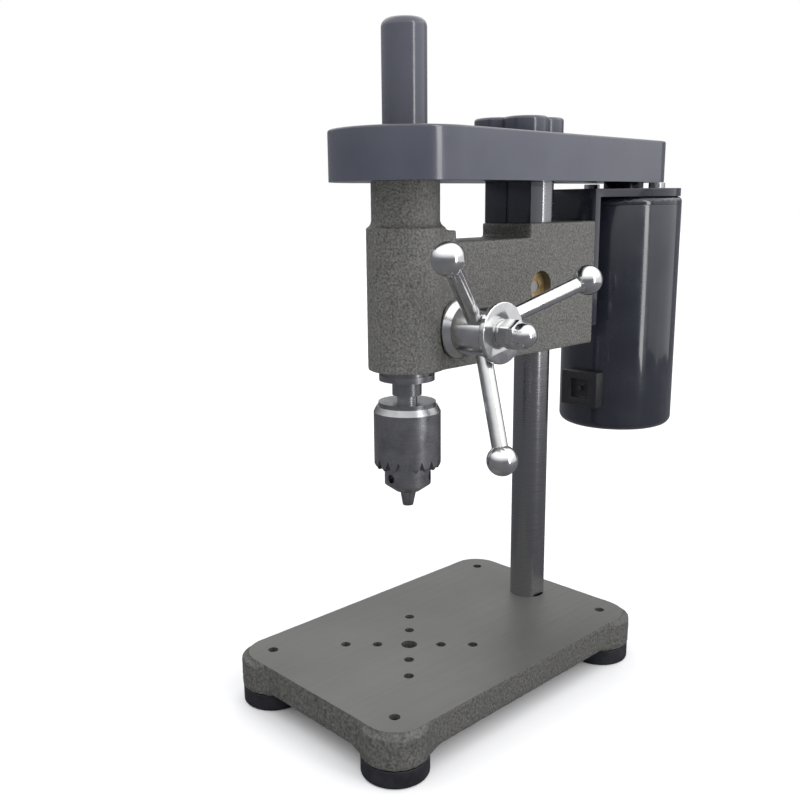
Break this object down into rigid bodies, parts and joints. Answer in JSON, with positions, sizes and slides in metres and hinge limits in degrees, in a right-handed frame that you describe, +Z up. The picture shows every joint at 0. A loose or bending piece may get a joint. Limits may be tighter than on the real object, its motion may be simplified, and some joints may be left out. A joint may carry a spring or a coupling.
{
  "type": "bench drill press",
  "caption": "Miniature bench drill press: cast base and column, sliding head with rack-and-pinion quill, keyed chuck, three-arm feed handle, belt cover and rear motor.",
  "frame": {"origin": "centre of the four bench-bolt holes, at the underside of the rubber feet", "axes": "+Z up along the column, -Y to the front where the operator stands, +X to the feed handle's side"},
  "size_m": [0.0804, 0.1862, 0.2155],
  "materials": {
    "cast_enamel": "textured grey enamel, ground table face",
    "ground_steel": "ground",
    "chuck_steel": "turned",
    "polished_steel": "polished",
    "foot_rubber": "matt",
    "navy_enamel": "gloss",
    "navy_plastic": "gloss",
    "shoe_brass": "turned",
    "fastener_steel": "bright",
    "bearing_steel": "ground",
    "pulley_aluminium": "turned",
    "spring_steel": "blued",
    "winding": "varnished copper on iron",
    "copper_bars": "turned copper",
    "ferrite": "matt",
    "carbon": "matt",
    "phenolic": "matt",
    "socket_plastic": "satin",
    "belt_rubber": "satin"
  },
  "bodies": {
    "base": {"base_casting": "cast_enamel", "rubber_feet": "foot_rubber", "column": "ground_steel", "column_nut": "fastener_steel"},
    "head": {"head_casting": "cast_enamel", "lock_shoe_right": "shoe_brass", "lock_shoe_left": "shoe_brass", "quill_guide_screw": "fastener_steel", "spring_cup": "navy_enamel", "return_spring": "spring_steel", "cover_post": "navy_enamel", "guard_plate": "navy_enamel", "guard_plate_screws": "fastener_steel", "motor_bracket": "navy_enamel", "bracket_screws": "fastener_steel", "motor_can": "navy_enamel", "motor_end_bell": "navy_enamel", "motor_screws": "fastener_steel", "motor_bearings": "bearing_steel", "motor_magnets": "ferrite", "brush_holder": "phenolic", "brushes": "carbon", "power_inlet": "socket_plastic", "pulley_bearings": "bearing_steel", "drive_belt": "belt_rubber"},
    "column_lock": {"lock_stud": "fastener_steel", "lock_knob": "navy_plastic"},
    "feed": {"pinion_shaft": "ground_steel", "feed_hub": "polished_steel", "hub_end_disc": "polished_steel", "feed_arm_1": "polished_steel", "feed_arm_2": "polished_steel", "feed_arm_3": "polished_steel", "feed_ball_1": "polished_steel", "feed_ball_2": "polished_steel", "feed_ball_3": "polished_steel", "hub_washer": "polished_steel", "acorn_nut": "polished_steel", "pinion_circlip": "fastener_steel"},
    "quill": {"quill": "ground_steel", "quill_nut": "ground_steel", "quill_bearings": "bearing_steel"},
    "spindle": {"spindle": "ground_steel", "spindle_circlip": "fastener_steel", "chuck_body": "chuck_steel"},
    "spindle_pulley": {"spindle_pulley": "pulley_aluminium"},
    "motor_rotor": {"motor_shaft": "fastener_steel", "armature": "winding", "commutator": "copper_bars", "motor_pulley": "pulley_aluminium"},
    "chuck_sleeve": {"chuck_sleeve": "chuck_steel", "chuck_nut": "chuck_steel"},
    "jaw_1": {"jaw_1": "chuck_steel"},
    "jaw_2": {"jaw_2": "chuck_steel"},
    "jaw_3": {"jaw_3": "chuck_steel"},
    "belt_cover": {"belt_cover": "navy_plastic"},
    "cover_knob": {"cover_knob": "navy_plastic"}
  },
  "joints": [
    {"name": "head_height", "type": "slide", "parent": "base", "child": "head", "axis": [0, 0, 1], "range_m": [-0.01, 0.03]},
    {"name": "column_lock_turn", "type": "hinge", "parent": "head", "child": "column_lock", "pos_m": [0, 0.0372, 0.1343], "axis": [-1, 0, 0], "range_deg": [0, 180]},
    {"name": "feed_handle_turn", "type": "hinge", "parent": "head", "child": "feed", "pos_m": [0, -0.0038, 0.1243], "axis": [1, 0, 0], "range_deg": [0, 239], "stiffness_Nm_per_rad": 0.012, "springref_deg": -143.24},
    {"name": "quill_feed", "type": "slide", "parent": "head", "child": "quill", "axis": [0, 0, -1], "range_m": [0, 0.025]},
    {"name": "spindle_spin", "type": "hinge", "parent": "quill", "child": "spindle", "pos_m": [0, -0.0167, 0.1], "axis": [0, 0, -1], "continuous": true},
    {"name": "pulley_spin", "type": "hinge", "parent": "head", "child": "spindle_pulley", "pos_m": [0, -0.0167, 0.176], "axis": [0, 0, -1], "continuous": true},
    {"name": "motor_spin", "type": "hinge", "parent": "head", "child": "motor_rotor", "pos_m": [0, 0.1018, 0.12], "axis": [0, 0, -1], "continuous": true},
    {"name": "chuck_tighten", "type": "hinge", "parent": "spindle", "child": "chuck_sleeve", "pos_m": [0, -0.0167, 0.09], "axis": [0, 0, 1], "range_deg": [0, 2160]},
    {"name": "jaw_1_slide", "type": "slide", "parent": "spindle", "child": "jaw_1", "axis": [0, -0.2079, 0.9781], "range_m": [0, 0.0097]},
    {"name": "jaw_2_slide", "type": "slide", "parent": "spindle", "child": "jaw_2", "axis": [0.1801, 0.104, 0.9781], "range_m": [0, 0.0097]},
    {"name": "jaw_3_slide", "type": "slide", "parent": "spindle", "child": "jaw_3", "axis": [-0.1801, 0.104, 0.9781], "range_m": [0, 0.0097]},
    {"name": "cover_lift", "type": "slide", "parent": "head", "child": "belt_cover", "axis": [0, 0, 1], "range_m": [0, 0.05]},
    {"name": "cover_knob_turn", "type": "hinge", "parent": "belt_cover", "child": "cover_knob", "pos_m": [0, 0.0372, 0.187], "axis": [0, 0, 1], "continuous": true}
  ],
  "couplings": [
    {"joint": "feed_handle_turn", "follows": "quill_feed", "rad_per_m": 166.67},
    {"joint": "pulley_spin", "follows": "motor_spin", "ratio": 0.5},
    {"joint": "spindle_spin", "follows": "motor_spin", "ratio": 0.5},
    {"joint": "jaw_1_slide", "follows": "chuck_tighten", "m_per_rad": 0.00025516},
    {"joint": "jaw_2_slide", "follows": "chuck_tighten", "m_per_rad": 0.00025516},
    {"joint": "jaw_3_slide", "follows": "chuck_tighten", "m_per_rad": 0.00025516}
  ]
}
